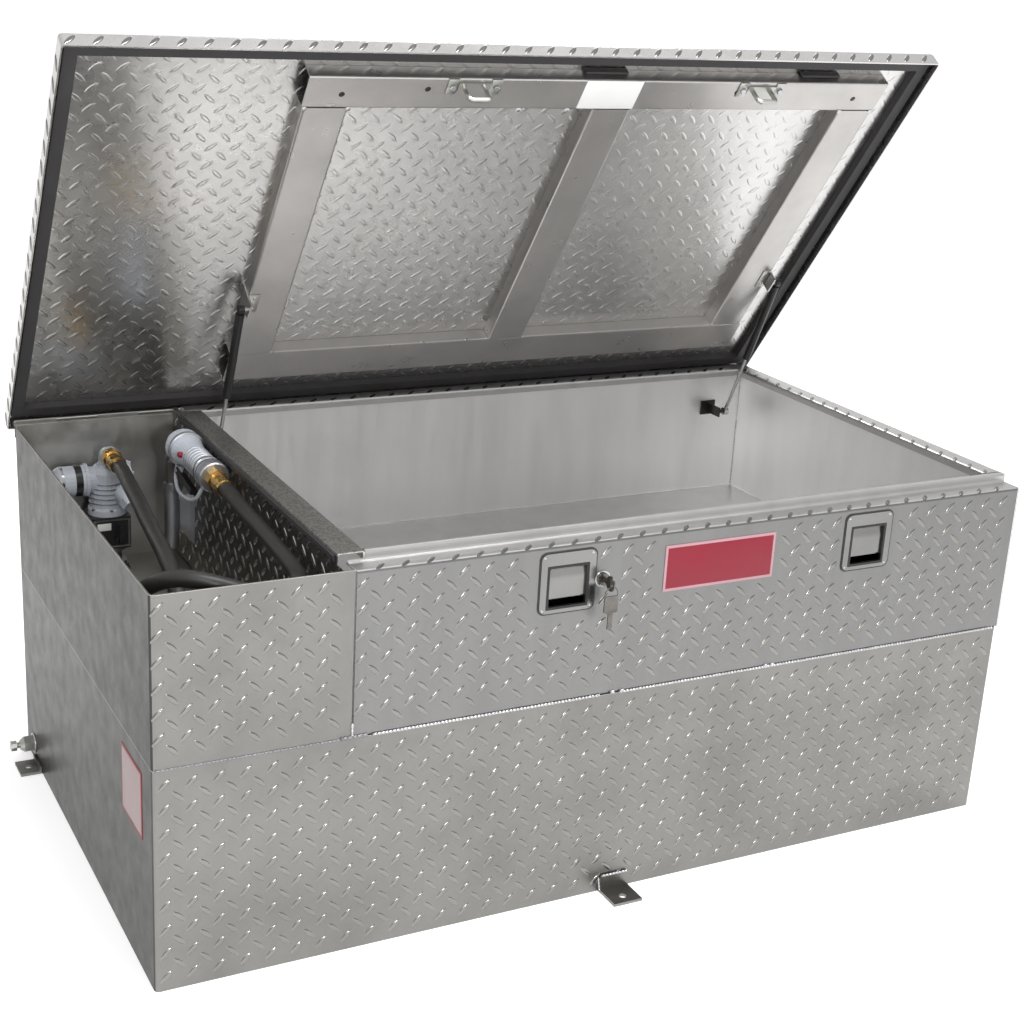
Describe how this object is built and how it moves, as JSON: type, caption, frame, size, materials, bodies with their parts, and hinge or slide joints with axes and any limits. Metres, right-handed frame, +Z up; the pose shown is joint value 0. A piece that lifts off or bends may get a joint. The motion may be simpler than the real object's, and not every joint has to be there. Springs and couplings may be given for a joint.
{
  "type": "truck bed transfer tank",
  "caption": "Tread-plate fuel tank for a truck bed with a hinged-lid toolbox on top and an end bay that holds the pump, coiled hose and nozzle.",
  "frame": {"origin": "middle of the tank's underside, on the surface it stands on", "axes": "+X along the truck's width from the pump bay to the toolbox's far end, +Y towards the hinge, +Z up; the lid is stored open"},
  "size_m": [1.6043, 0.9262, 1.3082],
  "materials": {
    "tread_plate": "mill finish with raised lozenges",
    "plain_sheet": "mill finish",
    "zinc": "zinc plated",
    "stainless": "polished",
    "brass": "satin",
    "rubber": "satin",
    "black_paint": "gloss",
    "black_plastic": "matte",
    "cast_alloy": "cast",
    "grey_paint": "satin",
    "white_enamel": "gloss"
  },
  "bodies": {
    "box": {"tank_shell": "tread_plate", "left_baffle": "plain_sheet", "right_baffle": "plain_sheet", "bay_walls": "tread_plate", "partition": "tread_plate", "toolbox_tub": "tread_plate", "toolbox_right_end": "tread_plate", "hinge_pin": "zinc", "hinge_fixed_leaf": "zinc", "left_strut_box_bracket": "black_paint", "right_strut_box_bracket": "black_paint", "left_latch_tray": "stainless", "left_latch_body": "zinc", "right_latch_tray": "stainless", "right_latch_body": "zinc", "lock_barrel": "stainless", "outlet_bushing": "zinc", "outlet_plug": "zinc", "filler_neck": "zinc", "vent_cap": "brass", "tank_bung": "zinc", "suction_pipe": "zinc", "pump_column": "cast_alloy", "switch_box": "black_plastic", "pump_body": "cast_alloy", "pump_motor": "grey_paint", "pump_cover": "cast_alloy", "outlet_elbow": "cast_alloy", "pump_swivel": "brass", "nozzle_body": "cast_alloy", "nozzle_ring": "white_enamel", "nozzle_swivel": "brass", "nozzle_spout": "plain_sheet", "nozzle_holder": "grey_paint", "hose_coil": "rubber", "hose_pump_run": "rubber", "hose_nozzle_run": "rubber"},
    "lid": {"lid_skin": "tread_plate", "lid_seal": "rubber", "lid_front_rail": "plain_sheet", "lid_back_rail": "plain_sheet", "lid_left_rail": "plain_sheet", "lid_centre_rail": "plain_sheet", "lid_right_rail": "plain_sheet", "left_striker": "zinc", "right_striker": "zinc", "hinge_lid_leaf": "zinc"},
    "left_rod": {"left_strut_rod": "stainless"},
    "left_cylinder": {"left_strut_cylinder": "black_paint"},
    "right_rod": {"right_strut_rod": "stainless"},
    "right_cylinder": {"right_strut_cylinder": "black_paint"},
    "left_paddle": {"left_paddle": "stainless"},
    "right_paddle": {"right_paddle": "stainless"},
    "key": {"lock_key": "brass", "spare_key_ring": "stainless"},
    "switch_lever": {"switch_lever": "black_plastic"},
    "trigger": {"nozzle_trigger": "black_paint"},
    "cap": {"filler_cap": "black_plastic"}
  },
  "joints": [
    {"name": "lid_hinge", "type": "hinge", "parent": "box", "child": "lid", "pos_m": [0, 0.4253, 0.622], "axis": [1, 0, 0], "range_deg": [0, 54.05], "stiffness_Nm_per_rad": 30, "springref_deg": -89.95},
    {"name": "left_strut_swing", "type": "hinge", "parent": "box", "child": "left_rod", "pos_m": [-0.412, 0.38, 0.54], "axis": [1, 0, 0], "range_deg": [0, 50.66]},
    {"name": "left_strut_slide", "type": "slide", "parent": "left_rod", "child": "left_cylinder", "axis": [0, -0.4086, 0.9127], "range_m": [-0.0835, 0]},
    {"name": "right_strut_swing", "type": "hinge", "parent": "box", "child": "right_rod", "pos_m": [0.7015, 0.38, 0.54], "axis": [1, 0, 0], "range_deg": [0, 50.66]},
    {"name": "right_strut_slide", "type": "slide", "parent": "right_rod", "child": "right_cylinder", "axis": [0, -0.4086, 0.9127], "range_m": [-0.0835, 0]},
    {"name": "left_paddle_pull", "type": "hinge", "parent": "box", "child": "left_paddle", "pos_m": [-0.1235, -0.4178, 0.5775], "axis": [-1, 0, 0], "range_deg": [0, 30], "stiffness_Nm_per_rad": 0.2},
    {"name": "right_paddle_pull", "type": "hinge", "parent": "box", "child": "right_paddle", "pos_m": [0.4425, -0.4178, 0.5775], "axis": [-1, 0, 0], "range_deg": [0, 30], "stiffness_Nm_per_rad": 0.2},
    {"name": "key_turn", "type": "hinge", "parent": "box", "child": "key", "pos_m": [-0.062, -0.4223, 0.552], "axis": [0, 1, 0], "range_deg": [0, 90]},
    {"name": "switch_turn", "type": "hinge", "parent": "box", "child": "switch_lever", "pos_m": [-0.61, 0.3117, 0.428], "axis": [0, 1, 0], "range_deg": [0, 60]},
    {"name": "trigger_squeeze", "type": "hinge", "parent": "box", "child": "trigger", "pos_m": [-0.52555, 0.23049, 0.56812], "axis": [-0.9609, -0.0388, 0.274], "range_deg": [0, 10], "stiffness_Nm_per_rad": 1},
    {"name": "cap_turn", "type": "hinge", "parent": "box", "child": "cap", "pos_m": [-0.62, -0.276, 0.3936], "axis": [0, 0, 1], "range_deg": [0, 90]}
  ],
  "couplings": [
    {"joint": "left_strut_swing", "follows": "lid_hinge", "ratio": 0.93691},
    {"joint": "left_strut_slide", "follows": "lid_hinge", "m_per_rad": -0.088427},
    {"joint": "right_strut_swing", "follows": "lid_hinge", "ratio": 0.93691},
    {"joint": "right_strut_slide", "follows": "lid_hinge", "m_per_rad": -0.088427}
  ]
}
